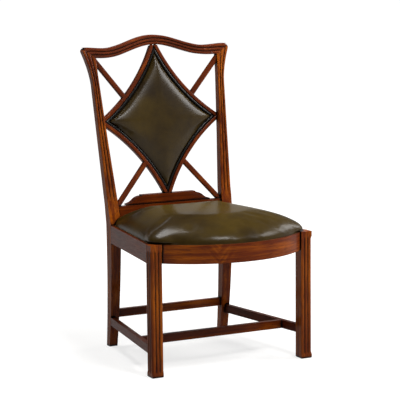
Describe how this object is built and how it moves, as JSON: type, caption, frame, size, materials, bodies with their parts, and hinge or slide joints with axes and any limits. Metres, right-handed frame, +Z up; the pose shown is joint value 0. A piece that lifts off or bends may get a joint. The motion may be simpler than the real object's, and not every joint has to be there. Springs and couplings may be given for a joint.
{
  "type": "dining side chair",
  "caption": "Wooden dining side chair with a serpentine crest, a diamond leather back panel on diagonal braces, reeded front legs, stretchers and a drop-in bow-fronted leather seat.",
  "frame": {"origin": "on the floor, under the middle of the whole chair's box", "axes": "+Z up, the chair faces -Y, +X to the right of someone who looks at its front"},
  "size_m": [0.562, 0.6762, 1.0145],
  "materials": {
    "mahogany": "French polished, dark glaze in the hollows",
    "ebonised_wood": "polished black",
    "frame_wood": "bare beech",
    "leather": "waxed, soft sheen",
    "stuffing": "foam and wadding",
    "webbing": "woven jute",
    "dust_cover": "black woven lining",
    "brass_tack": "aged",
    "steel_screw": "plain"
  },
  "bodies": {
    "frame": {"front_leg_right": "mahogany", "front_leg_left": "mahogany", "back_post_right": "mahogany", "back_post_left": "mahogany", "crest_rail": "mahogany", "front_seat_rail": "mahogany", "rear_seat_rail": "mahogany", "side_seat_rail_right": "mahogany", "side_seat_rail_left": "mahogany", "side_stretcher_right": "mahogany", "side_stretcher_left": "mahogany", "cross_stretcher": "mahogany", "rear_stretcher": "mahogany", "splat_shoe": "mahogany", "diamond_rail_upper_right": "mahogany", "diamond_rail_upper_left": "mahogany", "diamond_rail_lower_right": "mahogany", "diamond_rail_lower_left": "mahogany", "diamond_bead_upper_right": "ebonised_wood", "diamond_bead_upper_left": "ebonised_wood", "diamond_bead_lower_right": "ebonised_wood", "diamond_bead_lower_left": "ebonised_wood", "brace_upper_right": "mahogany", "brace_upper_left": "mahogany", "brace_lower_right": "mahogany", "brace_lower_left": "mahogany", "corner_block_front_right": "frame_wood", "corner_block_front_left": "frame_wood", "corner_block_rear_right": "frame_wood", "corner_block_rear_left": "frame_wood", "corner_block_screws": "steel_screw", "back_panel_board": "frame_wood", "back_foam": "stuffing", "back_leather_front": "leather", "back_leather_outside": "leather", "back_panel_tacks": "brass_tack"},
    "seat": {"seat_frame_front": "frame_wood", "seat_frame_rear": "frame_wood", "seat_frame_right": "frame_wood", "seat_frame_left": "frame_wood", "seat_webbing_lengthwise": "webbing", "seat_webbing_crosswise": "webbing", "seat_foam": "stuffing", "seat_leather": "leather", "seat_dust_cover": "dust_cover", "seat_tacks": "brass_tack"}
  },
  "joints": [
    {"name": "seat_lift", "type": "slide", "parent": "frame", "child": "seat", "axis": [0, 0, 1], "range_m": [0, 0.15]}
  ]
}
